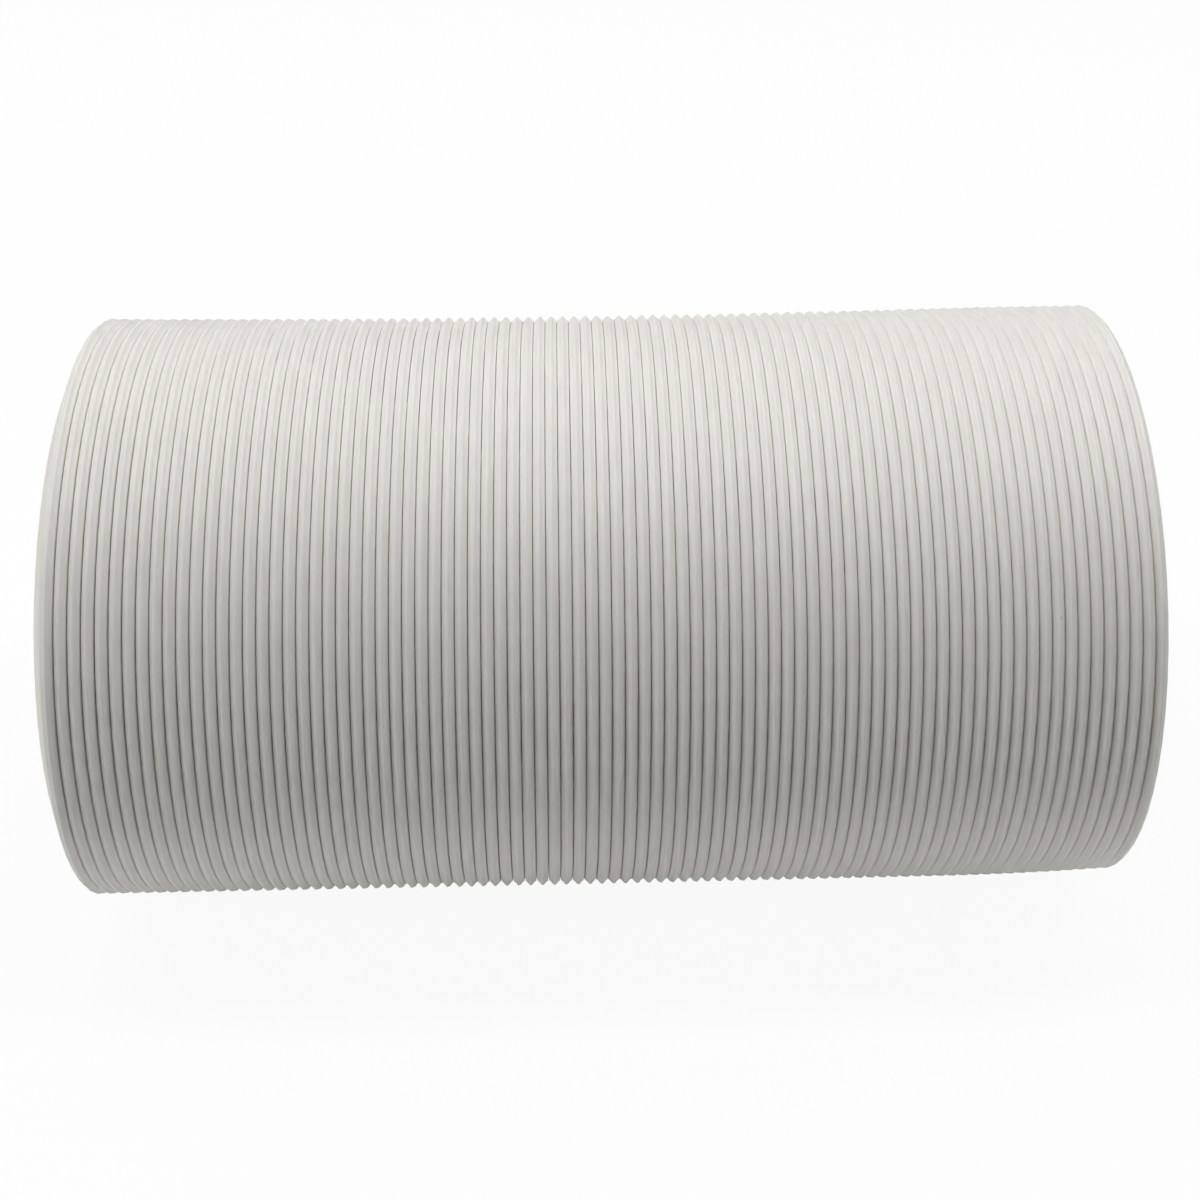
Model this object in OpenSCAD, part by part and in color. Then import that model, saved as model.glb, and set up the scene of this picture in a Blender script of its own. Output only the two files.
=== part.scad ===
// Air conditioner exhaust hose, squeezed together for storage.
// One wound and pleated plastic strip: every turn is a rib with a rounded crest,
// two upright webs and an inner fold that joins it to the next turn.
// The hose lies on its side. Its axis runs along X, and its underside touches Z = 0.

/* [Hose] */
// Outside diameter over the crests of the ribs
outer_d = 150; // [100:1:200]
// Depth of a pleat, from the top of a crest to the clear bore inside the folds
pleat_depth = 9; // [6:0.25:12]
// Number of turns in the squeezed hose
turns = 86; // [20:1:120]
// Distance along the axis from one turn to the next
pitch = 3.065; // [2.8:0.005:4.2]

/* [Strip] */
// Thickness of the plastic strip
wall = 0.6; // [0.4:0.05:0.8]
// Width of the dark slot between two neighbouring ribs
crevice = 0.45; // [0.3:0.05:0.7]

/* [Crest] */
// Height of a crest above the shoulders where its flanks begin
crest_h = 1.15; // [0.7:0.05:1.6]
// Rounding radius on top of a crest
crest_r = 0.55; // [0.2:0.05:0.6]

/* [Fold] */
// Rounding radius of the inner fold, on its bore side
fold_r = 0.3; // [0.1:0.05:0.4]

/* [Ends] */
// How far the free web of the first turn leans outwards
end_lean = 3.1; // [0:0.1:4]

/* [Colour] */
// Colour of the plastic
plastic = "#dad8d2";

/* [Hidden] */
$fn = 96;

outer_r = outer_d / 2;
bore_r = outer_r - pleat_depth;
shoulder_r = outer_r - crest_h;
half_rib = (pitch - crevice) / 2;
half_cavity = half_rib - wall;

// The straight flank of a crest runs from its shoulder to the rounded top
crest_centre_h = crest_h - crest_r;
flank_reach = norm([half_rib, crest_centre_h]);
flank_slope = atan(crest_centre_h / half_rib) + asin(crest_r / flank_reach);
crest_arc_steps = 4;

// The cavity under the crest keeps the strip's thickness below the flanks
roof_edge_r = shoulder_r - wall * (1 - sin(flank_slope)) / cos(flank_slope);
roof_peak_r = shoulder_r + half_rib * tan(flank_slope) - wall / cos(flank_slope);

// Along the axis the first turn begins where its leaning web has found room
first_turn_x = end_lean;
hose_l = first_turn_x + turns * pitch - crevice / 2;
fold_arc_steps = 2;

// Points of a section are [radius, distance along the axis]
function turn_middle(i) = first_turn_x + (i + 0.5) * pitch;

function crest_top(middle) = [
    for (step = [0 : crest_arc_steps])
        let (angle = flank_slope * (2 * step / crest_arc_steps - 1))
        [shoulder_r + crest_centre_h + crest_r * cos(angle), middle + crest_r * sin(angle)]
];

function rib_outside(middle) = concat(
    [[shoulder_r, middle - half_rib]],
    crest_top(middle),
    [[shoulder_r, middle + half_rib]]
);

function crevice_floor(x) = [
    [bore_r + wall, x - crevice / 2],
    [bore_r + wall, x + crevice / 2]
];

// The inner fold seen from the bore, listed against the axis
function fold_corner(edge, side) = [
    for (step = [0 : fold_arc_steps])
        let (angle = 90 * (side > 0 ? step : fold_arc_steps - step) / fold_arc_steps)
        [bore_r + fold_r * (1 - sin(angle)), edge - side * fold_r * (1 - cos(angle))]
];

function fold_inside(x) = concat(
    fold_corner(x + crevice / 2 + wall, 1),
    fold_corner(x - crevice / 2 - wall, -1)
);

function cavity_roof(middle) = [
    [roof_edge_r, middle + half_cavity],
    [roof_peak_r, middle],
    [roof_edge_r, middle - half_cavity]
];

function outside_points() = [
    for (i = [0 : turns - 1])
        each concat(
            rib_outside(turn_middle(i)),
            i < turns - 1 ? crevice_floor(turn_middle(i) + pitch / 2) : []
        )
];

function inside_points() = [
    for (i = [turns - 1 : -1 : 0])
        each concat(
            cavity_roof(turn_middle(i)),
            i > 0 ? fold_inside(turn_middle(i) - pitch / 2) : []
        )
];

hose_section = concat(
    [[bore_r, 0]],
    outside_points(),
    [[bore_r, hose_l], [bore_r, hose_l - wall]],
    inside_points(),
    [[bore_r, wall]]
);

module hose() {
    color(plastic)
        translate([-hose_l / 2, 0, outer_r])
            rotate([0, 90, 0])
                rotate_extrude()
                    polygon(hose_section);
}

hose();
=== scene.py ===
"""The exhaust hose as it lies squeezed together: one plastic strip, wound left-handed and pleated.

Geometry Nodes wind the strip from its section, so the turns, the free web of the first turn and the
slight unevenness of the real hose follow from a few sizes. Lengths are in metres.
"""
import math

import bpy
from bpy.props import FloatProperty, FloatVectorProperty, IntProperty, PointerProperty
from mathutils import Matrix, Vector


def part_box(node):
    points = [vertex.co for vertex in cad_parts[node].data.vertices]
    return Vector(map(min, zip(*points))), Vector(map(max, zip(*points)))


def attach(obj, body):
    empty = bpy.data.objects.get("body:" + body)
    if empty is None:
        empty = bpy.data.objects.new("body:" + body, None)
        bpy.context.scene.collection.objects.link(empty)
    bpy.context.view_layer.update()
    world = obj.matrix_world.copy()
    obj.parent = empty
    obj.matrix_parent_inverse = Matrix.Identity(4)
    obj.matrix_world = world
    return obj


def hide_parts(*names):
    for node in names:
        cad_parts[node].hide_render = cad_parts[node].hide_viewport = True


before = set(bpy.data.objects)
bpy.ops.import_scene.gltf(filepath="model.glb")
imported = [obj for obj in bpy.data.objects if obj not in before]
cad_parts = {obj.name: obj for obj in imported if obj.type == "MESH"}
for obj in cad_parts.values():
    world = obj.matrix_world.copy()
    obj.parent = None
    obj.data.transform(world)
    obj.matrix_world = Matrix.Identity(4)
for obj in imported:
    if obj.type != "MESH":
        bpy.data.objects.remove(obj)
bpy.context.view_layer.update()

bl_info = {
    "name": "Pleated exhaust hose",
    "version": (1, 0, 0),
    "blender": (4, 5, 0),
    "location": "View3D > Sidebar > Hose",
    "description": "Winds a pleated exhaust hose from one strip and sets up its studio",
    "category": "Add Mesh",
}

HOSE_LOW, HOSE_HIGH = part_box("hose")
OUTER_RADIUS = (HOSE_HIGH[1] - HOSE_LOW[1]) / 2
AXIS_HEIGHT = (HOSE_HIGH[2] + HOSE_LOW[2]) / 2
HOSE_LENGTH = HOSE_HIGH[0] - HOSE_LOW[0]
MM = 0.001

# Points closer than this become one, and an edge with a bend over this stays sharp
MERGED_WITHIN = 0.01 * MM
SHARP_BEND = math.radians(60)

# The last turns shrink over this share of half the hose, towards a point that lies above the axis by this
# share of the axis's height
DRAWN_REACH = 0.34
DRAWN_TOWARDS = 1 / 3

# The slots' painted shade, a warmer and darker tone than the plastic, begins this far below the shoulders
SLOT_SHADE_STARTS = 0.1 * MM

# Streaks in the plastic: how many to a metre of the hose, and how many to a radian round it
FINE_STREAKS = {"Across": 5200.0, "Along": 2.6}
BROAD_STREAKS = {"Across": 420.0, "Along": 5.0}

# A dark speck near the right end and a pale nick half way along: place and reach in mm, tone, strength
SMALL_MARKS = (
    ((106.2, -60.8, 117.8), (0.42, 0.42, 0.42), (0.30, 0.28, 0.26), 0.45),
    ((-4.5, -64.3, 111.9), (0.7, 0.27, 0.27), (0.95, 0.93, 0.75), 0.8),
)

# Each lamp's name, place, turn about X and Y in degrees, size, and the setting that holds its power
LAMPS = (
    ("overhead_lamp", (0, 0, 1.5), (0, 0), (3.2, 0.3), "overhead"),
    ("rear_lamp", (0, 0.45, 0.9), (-28, 0), (2.6, 0.6), "rear"),
    ("table_light", (0, 0, 0.003), (180, 0), (0.8, 0.6), "table"),
    ("left_lamp", (-1.3, 0, 0.6), (0, -69), (1.2, 1.2), "left"),
    ("right_lamp", (1.3, 0, 0.6), (0, 69), (1.2, 1.2), "right"),
)


class HoseSizes(bpy.types.PropertyGroup):
    """Sizes of the strip and of its winding"""

    turns: IntProperty(name="Turns", description="Turns of the strip", default=86, min=8)
    steps: IntProperty(name="Steps", description="Straight steps in one turn", default=58, min=12)
    pitch: FloatProperty(
        name="Pitch", description="From one turn to the next along the axis", default=2.994 * MM,
        unit="LENGTH"
    )
    first: FloatProperty(
        name="First turn", description="From the hose's left end to the middle of its first turn",
        default=6.45 * MM, unit="LENGTH"
    )
    rib: FloatProperty(
        name="Rib", description="Width of a rib at its shoulders", default=2.7 * MM, unit="LENGTH"
    )
    depth: FloatProperty(
        name="Pleat depth", description="From the top of a crest to the bore", default=9 * MM, unit="LENGTH"
    )
    wall: FloatProperty(name="Wall", description="Thickness of the strip", default=0.6 * MM, unit="LENGTH")
    ridge_height: FloatProperty(
        name="Ridge height", description="From a rib's shoulders to its top", default=0.92 * MM,
        unit="LENGTH"
    )
    ridge_foot: FloatProperty(
        name="Ridge foot", description="Half the width of a rib's ridge at its foot", default=1.02 * MM,
        unit="LENGTH"
    )
    crest_radius: FloatProperty(
        name="Crest rounding", description="Radius on top of a ridge", default=0.5 * MM, unit="LENGTH"
    )
    shoulder_slope: FloatProperty(
        name="Shoulder slope", description="Fall of a shoulder away from its ridge",
        default=math.radians(15), subtype="ANGLE"
    )
    shoulder_radius: FloatProperty(
        name="Shoulder rounding", description="Radius where a shoulder meets the web", default=0.25 * MM,
        unit="LENGTH"
    )
    notch: FloatProperty(
        name="Notch depth", description="From the shoulders down to where two ribs almost touch",
        default=0.95 * MM, unit="LENGTH"
    )
    gap: FloatProperty(
        name="Gap", description="Between two ribs below the notch", default=0.03 * MM, unit="LENGTH"
    )
    lean: FloatProperty(
        name="Lean", description="How far the first turn's free web leans out", default=3.1 * MM,
        unit="LENGTH"
    )
    loosening: FloatProperty(
        name="Loosening", description="Share by which the pitch is longer at first and shorter at last",
        default=0.0152
    )
    fan: FloatProperty(
        name="Fan", description="Share by which the turns close up, for each metre towards the closed side",
        default=0.27
    )
    fan_angle: FloatProperty(
        name="Fan angle", description="From the top of the hose back to the fan's closed side",
        default=math.radians(40.5), subtype="ANGLE"
    )
    sag: FloatProperty(
        name="Sag", description="How far the top sinks half way along", default=1.85 * MM, unit="LENGTH"
    )
    draw_in: FloatProperty(
        name="Draw-in", description="Share by which the last turn is smaller than the others",
        default=0.0125
    )


class PlasticLook(bpy.types.PropertyGroup):
    """Colours of the plastic, and of the shade painted between its ribs"""

    body: FloatVectorProperty(
        name="Plastic", description="Colour of the strip", subtype="COLOR", size=3,
        default=(0.805, 0.79, 0.752)
    )
    # Painted shade: a warmer, darker tone deep between the ribs, standing in for light that bounces between
    # them
    slot: FloatVectorProperty(
        name="Slots", description="Colour deep between the ribs", subtype="COLOR", size=3,
        default=(0.8, 0.768, 0.7)
    )


class StudioSetup(bpy.types.PropertyGroup):
    """Camera, floor and lights"""

    distance: FloatProperty(
        name="Distance", description="From the camera to the hose's axis", default=0.5449, unit="LENGTH"
    )
    azimuth: FloatProperty(
        name="Azimuth", description="Camera's angle round the upright axis, from straight in front",
        default=math.radians(-1.644), subtype="ANGLE"
    )
    elevation: FloatProperty(
        name="Elevation", description="Camera's angle above the floor", default=math.radians(40.5),
        subtype="ANGLE"
    )
    lens: FloatProperty(name="Lens", description="Focal length in millimetres", default=61.76)
    aim: FloatVectorProperty(
        name="Aim", description="Point that the camera looks at", subtype="TRANSLATION", size=3,
        default=(1.94 * MM, 0.0, AXIS_HEIGHT - 1.15 * MM)
    )
    overhead: FloatProperty(name="Overhead lamp", description="Power of the overhead lamp", default=20.5)
    rear: FloatProperty(name="Rear lamp", description="Power of the lamp above and behind", default=5.8)
    table: FloatProperty(name="Table light", description="Power of the light off the floor", default=0.13)
    left: FloatProperty(name="Left lamp", description="Power of the lamp past the left end", default=4.6)
    right: FloatProperty(name="Right lamp", description="Power of the lamp past the right end", default=1.4)


class NodeMaker:
    """Adds nodes to one tree and links or sets their inputs."""

    def __init__(self, tree):
        self.tree = tree

    def add(self, kind, values=(), **settings):
        made = self.tree.nodes.new(kind)
        for name, value in settings.items():
            setattr(made, name, value)
        for name, value in dict(values).items():
            self.feed(made.inputs[name], value)
        return made

    def feed(self, socket, value):
        if isinstance(value, bpy.types.NodeSocket):
            self.tree.links.new(value, socket)
        else:
            socket.default_value = value

    def math(self, operation, *values, clamp=False):
        made = self.add("ShaderNodeMath", dict(enumerate(values)), operation=operation, use_clamp=clamp)
        return made.outputs[0]

    def smooth(self, value, low, high):
        """0 below low, 1 above high, and a smooth step between."""
        ends = {"Value": value, "From Min": low, "From Max": high}
        return self.add("ShaderNodeMapRange", ends, interpolation_type="SMOOTHSTEP").outputs["Result"]

    def split(self, vector):
        return tuple(self.add("ShaderNodeSeparateXYZ", {0: vector}).outputs)

    def join(self, x, y, z):
        return self.add("ShaderNodeCombineXYZ", {0: x, 1: y, 2: z}).outputs[0]

    def both(self, one, other):
        return self.add("FunctionNodeBooleanMath", {0: one, 1: other}, operation="AND").outputs[0]

    def either(self, one, other):
        return self.add("FunctionNodeBooleanMath", {0: one, 1: other}, operation="OR").outputs[0]

    def compare(self, operation, one, other):
        made = self.add("FunctionNodeCompare", {0: one, 1: other}, data_type="FLOAT", operation=operation)
        return made.outputs[0]

    def choose(self, test, usual, other):
        """One number where the test fails, and another where it holds."""
        values = {"Switch": test, "False": usual, "True": other}
        return self.add("GeometryNodeSwitch", values, input_type="FLOAT").outputs[0]

    def store(self, geometry, name, value, kind):
        """Keeps a value on the geometry's points under a name."""
        values = {"Geometry": geometry, "Name": name, "Value": value}
        made = self.add("GeometryNodeStoreNamedAttribute", values, data_type=kind, domain="POINT")
        return made.outputs[0]

    def stored(self, name, kind):
        return self.add("GeometryNodeInputNamedAttribute", {"Name": name}, data_type=kind).outputs[0]

    def group(self, tree, values):
        """Another tree as a node of this one, with its inputs set."""
        kind = self.tree.bl_idname.replace("Tree", "Group")
        return self.add(kind, values, node_tree=tree).outputs[0]


def new_tree(name, kind, inputs, outputs):
    """An empty node tree with named sockets, and the nodes for its two ends."""
    tree = bpy.data.node_groups.new(name, kind)
    for direction, sockets in (("INPUT", inputs), ("OUTPUT", outputs)):
        for label, socket_type in sockets:
            tree.interface.new_socket(label, in_out=direction, socket_type="NodeSocket" + socket_type)
    return tree, tree.nodes.new("NodeGroupInput").outputs, tree.nodes.new("NodeGroupOutput").inputs


def arc(across, radius, size, start, end, steps):
    """Points round a circle in the section, by their angle from straight up."""
    angles = [start + (end - start) * step / steps for step in range(steps + 1)]
    return [(across + size * math.sin(angle), radius + size * math.cos(angle)) for angle in angles]


def strip_section(sizes):
    """Corners of one turn's closed section, as (distance from the turn's middle, radius).

    A rib has a rounded ridge between two gently sloping shoulders. Below these it widens, until it almost
    touches its neighbours.
    """
    half_pitch = sizes.pitch / 2
    half_rib = sizes.rib / 2
    half_cavity = half_rib - sizes.wall
    bore = OUTER_RADIUS - sizes.depth
    crest = OUTER_RADIUS - sizes.crest_radius
    foot = OUTER_RADIUS - sizes.ridge_height
    rise = crest - foot
    slope = math.atan(rise / sizes.ridge_foot)
    slope += math.asin(sizes.crest_radius / math.hypot(sizes.ridge_foot, rise))
    tilt, rounding = sizes.shoulder_slope, sizes.shoulder_radius
    corner = half_rib - rounding
    corner_top = foot - math.tan(tilt) * (corner + rounding * math.sin(tilt) - sizes.ridge_foot)
    outside = [
        *arc(0, crest, sizes.crest_radius, slope / 2, slope, 1),
        (sizes.ridge_foot, foot),
        *arc(corner, corner_top - rounding * math.cos(tilt), rounding, tilt, (tilt + math.pi / 2) / 2, 1),
        (half_pitch - sizes.gap / 2, corner_top - sizes.notch),
    ]
    inside = [(half_cavity, bore), (half_cavity, foot - sizes.wall)]
    right = [*outside, (half_pitch, bore + sizes.wall), (half_pitch, bore), *inside]
    left = [(-x, radius) for x, radius in reversed(right)]
    return [(0, OUTER_RADIUS), *right, (0, OUTER_RADIUS - sizes.wall / math.cos(slope)), *left]


def section_object(sizes):
    """The section as a closed loop of edges."""
    points = [(x, radius, 0) for x, radius in strip_section(sizes)]
    count = len(points)
    mesh = bpy.data.meshes.new("hose_strip")
    mesh.from_pydata(points, [(i, (i + 1) % count) for i in range(count)], [])
    made = bpy.data.objects.new("hose_strip", mesh)
    bpy.context.scene.collection.objects.link(made)
    return made


def turn_place_tree():
    """Where a turn's middle lies on the axis. The first and last turns lie a little squarer to it."""
    inputs = [("Turn", "Float"), ("Turns", "Float"), ("Pitch", "Float"), ("Loosening", "Float")]
    tree, given, result = new_tree("Turn place", "GeometryNodeTree", inputs, [("Place", "Float")])
    m = NodeMaker(tree)
    squared_turns, squareness, step_share = 7.0, 0.3, 0.22
    turn, turns = given["Turn"], given["Turns"]
    whole = m.math("FLOOR", turn)
    part = m.math("SUBTRACT", turn, whole)

    def squared(turns_from_end):
        """Share of the pitch that a turn makes in one short step, for its distance from an end."""
        nearness = m.math("SUBTRACT", 1.0, m.math("DIVIDE", turns_from_end, squared_turns), clamp=True)
        return m.math("MULTIPLY", squareness, nearness)

    first, last = squared(turn), squared(m.math("SUBTRACT", turns, turn))
    free = m.math("SUBTRACT", m.math("SUBTRACT", 1.0, first), last)
    wound = m.math("MULTIPLY", free, part)
    wound = m.math("MULTIPLY_ADD", first, m.smooth(part, 1 - step_share, 1.0), wound)
    wound = m.math("MULTIPLY_ADD", last, m.smooth(part, 0.0, step_share), wound)
    place = m.math("ADD", whole, wound)
    share = m.math("DIVIDE", place, turns)
    loose = m.math("MULTIPLY_ADD", m.math("SUBTRACT", 1.0, share), given["Loosening"], 1.0)
    m.feed(result["Place"], m.math("MULTIPLY", m.math("MULTIPLY", place, given["Pitch"]), loose))
    return tree


def swept_strip(m, given):
    """The section swept along a straight rail. Each point keeps its turn and its corner of the section."""
    count = m.math("MULTIPLY_ADD", given["Turns"], given["Steps"], 1.0)
    rail = m.add("GeometryNodeCurvePrimitiveLine").outputs["Curve"]
    rail = m.add("GeometryNodeResampleCurve", {"Curve": rail, "Count": count}, mode="COUNT").outputs[0]
    turn = m.math("DIVIDE", m.add("GeometryNodeInputIndex").outputs[0], given["Steps"])
    rail = m.store(rail, "turn", turn, "FLOAT")
    corner = m.add("GeometryNodeInputPosition").outputs[0]
    section = m.store(given["Section"], "corner", corner, "FLOAT_VECTOR")
    section = m.add("GeometryNodeMeshToCurve", {"Mesh": section}).outputs[0]
    sweep = {"Curve": rail, "Profile Curve": section, "Fill Caps": True}
    return m.add("GeometryNodeCurveToMesh", sweep).outputs[0]


def without_joint_faces(m, hose, turn, on_left, on_right, given):
    """Takes out the faces along which turns join. The strip's two ends keep theirs."""
    last_turn = m.math("SUBTRACT", given["Turns"], 1.0)
    left_joint = m.both(on_left, m.compare("GREATER_THAN", turn, 1.0))
    right_joint = m.both(on_right, m.compare("LESS_THAN", turn, last_turn))
    taken = {"Geometry": hose, "Selection": m.either(left_joint, right_joint)}
    return m.add("GeometryNodeDeleteGeometry", taken, domain="FACE", mode="ONLY_FACE").outputs[0]


def turn_middle(m, turn, on_left, on_right, given):
    """Where a turn's middle lies on the axis. Its joints lie half way to the middles next to it."""
    place_tree = turn_place_tree()
    here, before, after = [
        m.group(place_tree, {
            "Turn": m.math("ADD", turn, offset), "Turns": given["Turns"], "Pitch": given["Pitch"],
            "Loosening": given["Loosening"],
        })
        for offset in (0.0, -1.0, 1.0)
    ]
    joint_left = m.math("MULTIPLY", m.math("ADD", here, before), 0.5)
    joint_right = m.math("MULTIPLY", m.math("ADD", here, after), 0.5)
    return m.choose(on_right, m.choose(on_left, here, joint_left), joint_right)


def free_web_lean(m, turn, across, radius, given):
    """How far the first turn's free web leans out: more towards the bore, and nothing at the turn's end."""
    fades_from = 0.8
    shoulder = m.math("SUBTRACT", given["Outer radius"], given["Ridge height"])
    web_depth = m.math("SUBTRACT", given["Depth"], given["Ridge height"])
    down = m.math("DIVIDE", m.math("SUBTRACT", shoulder, radius), web_depth, clamp=True)
    remaining = m.math("SUBTRACT", 1.0, m.smooth(turn, fades_from, 1.0))
    leaning = m.math("MULTIPLY", remaining, m.math("LESS_THAN", across, 0.0))
    return m.math("MULTIPLY", m.math("MULTIPLY", given["Lean"], down), leaning)


SLACK_INPUTS = [("Axis height", "Float"), ("Sag", "Float"), ("Draw-in", "Float"), ("Length", "Float")]


def slack_values(sizes):
    """Values for the inputs that the winding and the material's groups share."""
    return {"Axis height": AXIS_HEIGHT, "Sag": sizes.sag, "Draw-in": sizes.draw_in, "Length": HOSE_LENGTH}


def slack(m, x, given):
    """How the hose's slackness forms a turn at a place along the axis.

    Gives the share of its size that the turn keeps, the height above the axis of the point that it
    shrinks towards, and the share of its height that it keeps where the top sags.
    """
    along = m.math("DIVIDE", x, m.math("MULTIPLY", given["Length"], 0.5))
    past = m.math("DIVIDE", m.math("SUBTRACT", along, 1 - DRAWN_REACH), DRAWN_REACH, clamp=True)
    drawn = m.math("MULTIPLY", given["Draw-in"], m.math("MULTIPLY", past, past))
    centre = m.math("MULTIPLY", given["Axis height"], DRAWN_TOWARDS)
    bow = m.math("SUBTRACT", 1.0, m.math("MULTIPLY", along, along), clamp=True)
    full_height = m.math("MULTIPLY", given["Axis height"], 2.0)
    sunk = m.math("DIVIDE", m.math("MULTIPLY", given["Sag"], bow), full_height)
    return m.math("SUBTRACT", 1.0, drawn), centre, m.math("SUBTRACT", 1.0, sunk)


def joined_and_shaded(m, hose, material):
    """Joins the turns, shades them smooth up to their sharp bends, and sets the material."""
    hose = m.add("GeometryNodeMergeByDistance", {"Geometry": hose, "Distance": MERGED_WITHIN}).outputs[0]
    smooth = {"Geometry": hose, "Shade Smooth": True}
    hose = m.add("GeometryNodeSetShadeSmooth", smooth, domain="FACE").outputs[0]
    bend = m.add("GeometryNodeInputMeshEdgeAngle").outputs["Unsigned Angle"]
    is_sharp = m.compare("GREATER_THAN", bend, SHARP_BEND)
    sharp = {"Geometry": hose, "Selection": is_sharp, "Shade Smooth": False}
    hose = m.add("GeometryNodeSetShadeSmooth", sharp, domain="EDGE").outputs[0]
    for name in ("turn", "corner"):
        hose = m.add("GeometryNodeRemoveAttribute", {"Geometry": hose, "Name": name}).outputs[0]
    hose = m.add("GeometryNodeRealizeInstances", {"Geometry": hose}).outputs[0]
    return m.add("GeometryNodeSetMaterial", {"Geometry": hose, "Material": material}).outputs[0]


def winding_tree(material):
    """Winds the section into the hose."""
    inputs = [
        ("Section", "Geometry"), ("Turns", "Int"), ("Steps", "Int"), ("Pitch", "Float"), ("Start", "Float"),
        ("Half pitch", "Float"), ("Outer radius", "Float"), ("Depth", "Float"), ("Ridge height", "Float"),
        ("Lean", "Float"), ("Loosening", "Float"), ("Fan", "Float"), ("Fan angle", "Float"), *SLACK_INPUTS,
    ]
    tree, given, result = new_tree("Winding", "GeometryNodeTree", inputs, [("Hose", "Geometry")])
    m = NodeMaker(tree)
    seam_angle = math.radians(215)
    just_inside = 0.999
    hose = swept_strip(m, given)

    turn = m.stored("turn", "FLOAT")
    across, radius, _ = m.split(m.stored("corner", "FLOAT_VECTOR"))
    edge = m.math("MULTIPLY", given["Half pitch"], just_inside)
    on_left = m.compare("LESS_THAN", across, m.math("MULTIPLY", edge, -1.0))
    on_right = m.compare("GREATER_THAN", across, edge)
    hose = without_joint_faces(m, hose, turn, on_left, on_right, given)

    angle = m.math("MULTIPLY_ADD", turn, math.tau, seam_angle)
    y = m.math("MULTIPLY", m.math("MULTIPLY", radius, m.math("COSINE", angle)), -1.0)
    up = m.math("MULTIPLY", radius, m.math("SINE", angle))

    closed_side = m.math("ADD", m.math("MULTIPLY", y, m.math("SINE", given["Fan angle"])),
                         m.math("MULTIPLY", up, m.math("COSINE", given["Fan angle"])))
    fanned = m.math("MULTIPLY_ADD", closed_side, given["Fan"], 1.0)
    middle = turn_middle(m, turn, on_left, on_right, given)
    off_middle = m.choose(m.either(on_left, on_right), across, 0.0)
    x = m.math("DIVIDE", m.math("ADD", middle, given["Start"]), fanned)
    x = m.math("SUBTRACT", m.math("ADD", x, off_middle), free_web_lean(m, turn, across, radius, given))

    kept, centre, height_kept = slack(m, x, given)
    y = m.math("MULTIPLY", y, kept)
    up = m.math("MULTIPLY_ADD", m.math("SUBTRACT", up, centre), kept, centre)
    z = m.math("MULTIPLY", m.math("ADD", up, given["Axis height"]), height_kept)
    hose = m.add("GeometryNodeSetPosition", {"Geometry": hose, "Position": m.join(x, y, z)}).outputs[0]
    m.feed(result["Hose"], joined_and_shaded(m, hose, material))
    return tree


def round_place(m, given):
    """Place along the axis, sideways, above the axis and away from it, with the slackness taken back."""
    x, y, z = m.split(m.add("ShaderNodeTexCoord").outputs["Object"])
    kept, centre, height_kept = slack(m, x, given)
    y = m.math("DIVIDE", y, kept)
    up = m.math("SUBTRACT", m.math("DIVIDE", z, height_kept), given["Axis height"])
    up = m.math("ADD", m.math("DIVIDE", m.math("SUBTRACT", up, centre), kept), centre)
    radius = m.math("SQRT", m.math("ADD", m.math("MULTIPLY", y, y), m.math("MULTIPLY", up, up)))
    return x, y, up, radius


def streak_tree():
    """Streaks that run round the hose, as an extruded strip has them."""
    inputs = [("Across", "Float"), ("Along", "Float"), *SLACK_INPUTS]
    tree, given, result = new_tree("Streaks round the axis", "ShaderNodeTree", inputs, [("Value", "Float")])
    m = NodeMaker(tree)
    x, y, up, radius = round_place(m, given)
    round_scale = m.math("DIVIDE", given["Along"], radius)
    sample = m.join(
        m.math("MULTIPLY", x, given["Across"]),
        m.math("MULTIPLY", y, round_scale),
        m.math("MULTIPLY", up, round_scale),
    )
    noise = m.add("ShaderNodeTexNoise", {"Vector": sample, "Scale": 1.0, "Detail": 3.0, "Roughness": 0.6})
    m.feed(result["Value"], noise.outputs["Fac"])
    return tree


def slot_shade_mask_tree():
    """How deep a point lies between the ribs: 0 above the slots, and 1 from their reach on down. It masks
    the shade painted there.
    """
    inputs = [("Slot radius", "Float"), ("Reach", "Float"), *SLACK_INPUTS]
    tree, given, result = new_tree("Depth between the ribs", "ShaderNodeTree", inputs, [("Value", "Float")])
    m = NodeMaker(tree)
    _, _, _, radius = round_place(m, given)
    sunk = m.math("SUBTRACT", given["Slot radius"], radius)
    m.feed(result["Value"], m.smooth(m.math("DIVIDE", sunk, given["Reach"]), 0.0, 1.0))
    return tree


def mark_tree():
    """A small mark with a soft edge: 1 near its place, and 0 outside an ellipsoid about it."""
    inputs = [("Place", "Vector"), ("Reach", "Vector")]
    tree, given, result = new_tree("Small mark", "ShaderNodeTree", inputs, [("Value", "Float")])
    m = NodeMaker(tree)
    soft_from = 0.5
    here = m.add("ShaderNodeTexCoord").outputs["Object"]
    off = m.add("ShaderNodeVectorMath", {0: here, 1: given["Place"]}, operation="SUBTRACT").outputs[0]
    share = m.add("ShaderNodeVectorMath", {0: off, 1: given["Reach"]}, operation="DIVIDE").outputs[0]
    distance = m.add("ShaderNodeVectorMath", {0: share}, operation="LENGTH").outputs["Value"]
    m.feed(result["Value"], m.math("SUBTRACT", 1.0, m.smooth(distance, soft_from, 1.0)))
    return tree


def tinted(m, share, one, other):
    """A mix of two colours. The mix node has sockets for each kind of value, so these go by number."""
    first_colour, second_colour, mixed_colour = 6, 7, 2
    values = {"Factor": share, first_colour: one, second_colour: other}
    return m.add("ShaderNodeMix", values, data_type="RGBA").outputs[mixed_colour]


def toned(colour, tone):
    """A colour made paler or darker, with its alpha."""
    return (*[channel * tone for channel in colour], 1)


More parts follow.
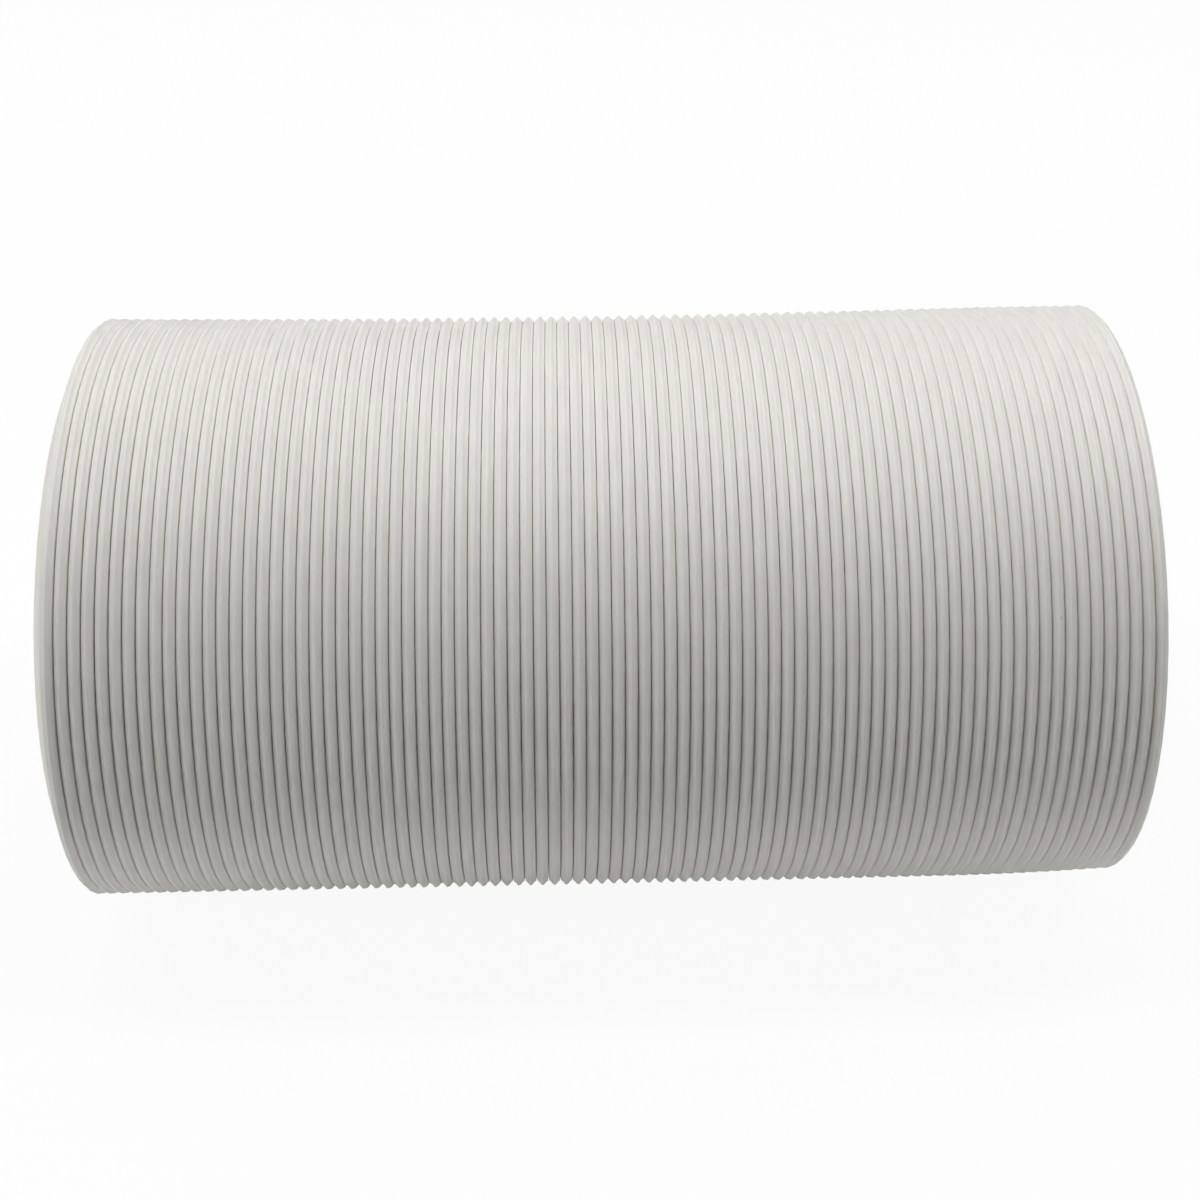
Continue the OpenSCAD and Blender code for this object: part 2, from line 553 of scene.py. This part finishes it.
def plastic_material(look, sizes):
    """Off-white plastic, half matt, with streaks, two small marks, and painted shade between the ribs: a
    warmer, darker tone for the light that bounces there.
    """
    material = bpy.data.materials.new("hose_plastic")
    material.use_nodes = True
    tree = material.node_tree
    m = NodeMaker(tree)
    shader = tree.nodes["Principled BSDF"]
    pale_tone, pale_range = 1.05, (0.35, 0.65)
    dark_tone, dark_range, dark_strength = 0.93, (0.45, 0.75), 0.6
    smoothest, roughness_span = 0.42, 0.2
    slot_radius = OUTER_RADIUS - sizes.ridge_height - SLOT_SHADE_STARTS
    streaks = streak_tree()
    slackness = slack_values(sizes)
    fine = m.group(streaks, {**FINE_STREAKS, **slackness})
    broad = m.group(streaks, {**BROAD_STREAKS, **slackness})
    depth = m.group(slot_shade_mask_tree(), {"Slot radius": slot_radius, "Reach": sizes.notch, **slackness})

    colour = tinted(m, m.smooth(broad, *pale_range), toned(look.body, 1), toned(look.body, pale_tone))
    dark_streaks = m.math("MULTIPLY", m.smooth(fine, *dark_range), dark_strength)
    colour = tinted(m, dark_streaks, colour, toned(look.body, dark_tone))
    # Painted shade: from the slots' reach on down, the bore too, the plastic takes the warmer, darker slot
    # tone in place of light bounced between the ribs
    colour = tinted(m, depth, colour, toned(look.slot, 1))
    marks = mark_tree()
    for place, reach, tone, strength in SMALL_MARKS:
        mark = m.group(marks, {"Place": Vector(place) * MM, "Reach": Vector(reach) * MM})
        colour = tinted(m, m.math("MULTIPLY", mark, strength), colour, toned(tone, 1))
    m.feed(shader.inputs["Base Color"], colour)
    m.feed(shader.inputs["Roughness"], m.math("MULTIPLY_ADD", fine, roughness_span, smoothest))
    bump = m.add("ShaderNodeBump", {"Strength": 0.35, "Distance": 0.04 * MM, "Height": fine})
    m.feed(shader.inputs["Normal"], bump.outputs[0])
    shader.inputs["IOR"].default_value = 1.49
    return material


def floor_material():
    """A white floor that the camera sees brightly lit, and that keeps the hose's shadow."""
    material = bpy.data.materials.new("studio_floor")
    material.use_nodes = True
    tree = material.node_tree
    tree.nodes.clear()
    m = NodeMaker(tree)
    glow_share = 0.93
    white = m.add("ShaderNodeBsdfDiffuse", {"Color": (0.9, 0.9, 0.9, 1)}).outputs[0]
    glow = m.add("ShaderNodeEmission", {"Color": (1, 1, 1, 1), "Strength": 1.0}).outputs[0]
    seen = m.math("MULTIPLY", m.add("ShaderNodeLightPath").outputs["Is Camera Ray"], glow_share)
    mixed = m.add("ShaderNodeMixShader", {0: seen, 1: white, 2: glow}).outputs[0]
    m.feed(m.add("ShaderNodeOutputMaterial").inputs["Surface"], mixed)
    return material


def white_world():
    """A world that the camera sees as pure white, and that adds no light."""
    world = bpy.data.worlds.new("studio_world")
    world.use_nodes = True
    tree = world.node_tree
    tree.nodes.clear()
    m = NodeMaker(tree)
    seen = m.add("ShaderNodeLightPath").outputs["Is Camera Ray"]
    white = m.add("ShaderNodeBackground", {"Color": (1, 1, 1, 1), "Strength": seen}).outputs[0]
    m.feed(m.add("ShaderNodeOutputWorld").inputs["Surface"], white)
    return world


def wound_mesh(strip, tree, values):
    """Runs the winding on the strip's section and leaves the strip as a plain mesh."""
    modifier = strip.modifiers.new("Winding", "NODES")
    modifier.node_group = tree
    for item in tree.interface.items_tree:
        if item.in_out == "INPUT" and item.name in values:
            modifier[item.identifier] = values[item.name]
    evaluated = strip.evaluated_get(bpy.context.evaluated_depsgraph_get())
    mesh = bpy.data.meshes.new_from_object(evaluated)
    strip.modifiers.remove(modifier)
    strip.data = mesh
    return mesh


class HOSE_OT_wind(bpy.types.Operator):
    """Wind the hose from its strip"""

    bl_idname = "hose.wind"
    bl_label = "Wind the hose"

    def execute(self, context):
        sizes = context.scene.hose_sizes
        strip = section_object(sizes)
        tree = winding_tree(plastic_material(context.scene.hose_look, sizes))
        mesh = wound_mesh(strip, tree, {
            "Turns": sizes.turns, "Steps": sizes.steps, "Pitch": sizes.pitch,
            "Start": HOSE_LOW[0] + sizes.first, "Half pitch": sizes.pitch / 2,
            "Outer radius": OUTER_RADIUS, "Depth": sizes.depth, "Ridge height": sizes.ridge_height,
            "Lean": sizes.lean, "Loosening": sizes.loosening, "Fan": sizes.fan,
            "Fan angle": sizes.fan_angle, **slack_values(sizes),
        })
        if not mesh.polygons:
            raise RuntimeError("the winding made no faces")
        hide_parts("hose")
        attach(strip, "root")
        return {"FINISHED"}


def hang_lamp(scene, name, place, turned, size, power):
    """A soft rectangular lamp. It faces down and is then turned about X and Y, in degrees."""
    lamp = bpy.data.lights.new(name, "AREA")
    lamp.shape = "RECTANGLE"
    lamp.size, lamp.size_y = size
    lamp.energy = power
    hung = bpy.data.objects.new(name, lamp)
    hung.location = place
    hung.rotation_euler = [math.radians(angle) for angle in (*turned, 0)]
    hung.visible_camera = False
    scene.collection.objects.link(hung)


class HOSE_OT_studio(bpy.types.Operator):
    """Set up the floor, the lights and the camera"""

    bl_idname = "hose.studio"
    bl_label = "Set up the studio"

    def execute(self, context):
        scene, studio = context.scene, context.scene.hose_studio
        reach = 3.0
        corners = [(-reach, -reach, 0), (reach, -reach, 0), (reach, reach, 0), (-reach, reach, 0)]
        mesh = bpy.data.meshes.new("studio_floor")
        mesh.from_pydata(corners, [], [(0, 1, 2, 3)])
        floor = bpy.data.objects.new("studio_floor", mesh)
        scene.collection.objects.link(floor)
        mesh.materials.append(floor_material())

        for name, place, turned, size, power in LAMPS:
            hang_lamp(scene, name, place, turned, size, getattr(studio, power))

        flat = math.cos(studio.elevation)
        outward = Vector((math.sin(studio.azimuth) * flat, -math.cos(studio.azimuth) * flat,
                          math.sin(studio.elevation)))
        camera = bpy.data.objects.new("photo_camera", bpy.data.cameras.new("photo_camera"))
        camera.location = Vector(studio.aim) + outward * studio.distance
        camera.rotation_euler = (-outward).to_track_quat("-Z", "Y").to_euler()
        camera.data.lens = studio.lens
        scene.collection.objects.link(camera)
        scene.camera = camera

        scene.world = white_world()
        scene.view_settings.view_transform = "Standard"
        return {"FINISHED"}


class HOSE_PT_sidebar(bpy.types.Panel):
    """Lists the sizes and the steps"""

    bl_label = "Pleated hose"
    bl_idname = "HOSE_PT_sidebar"
    bl_space_type = "VIEW_3D"
    bl_region_type = "UI"
    bl_category = "Hose"

    def draw(self, context):
        for group in (context.scene.hose_sizes, context.scene.hose_look, context.scene.hose_studio):
            for name in group.bl_rna.properties.keys():
                if name not in ("rna_type", "name"):
                    self.layout.prop(group, name)
        self.layout.operator(HOSE_OT_wind.bl_idname)
        self.layout.operator(HOSE_OT_studio.bl_idname)


CLASSES = (HoseSizes, PlasticLook, StudioSetup, HOSE_OT_wind, HOSE_OT_studio, HOSE_PT_sidebar)


def register():
    for made in CLASSES:
        bpy.utils.register_class(made)
    bpy.types.Scene.hose_sizes = PointerProperty(type=HoseSizes)
    bpy.types.Scene.hose_look = PointerProperty(type=PlasticLook)
    bpy.types.Scene.hose_studio = PointerProperty(type=StudioSetup)


def unregister():
    for name in ("hose_sizes", "hose_look", "hose_studio"):
        delattr(bpy.types.Scene, name)
    for made in reversed(CLASSES):
        bpy.utils.unregister_class(made)


def main():
    register()
    bpy.ops.hose.wind()
    bpy.ops.hose.studio()


if __name__ == "__main__":
    main()
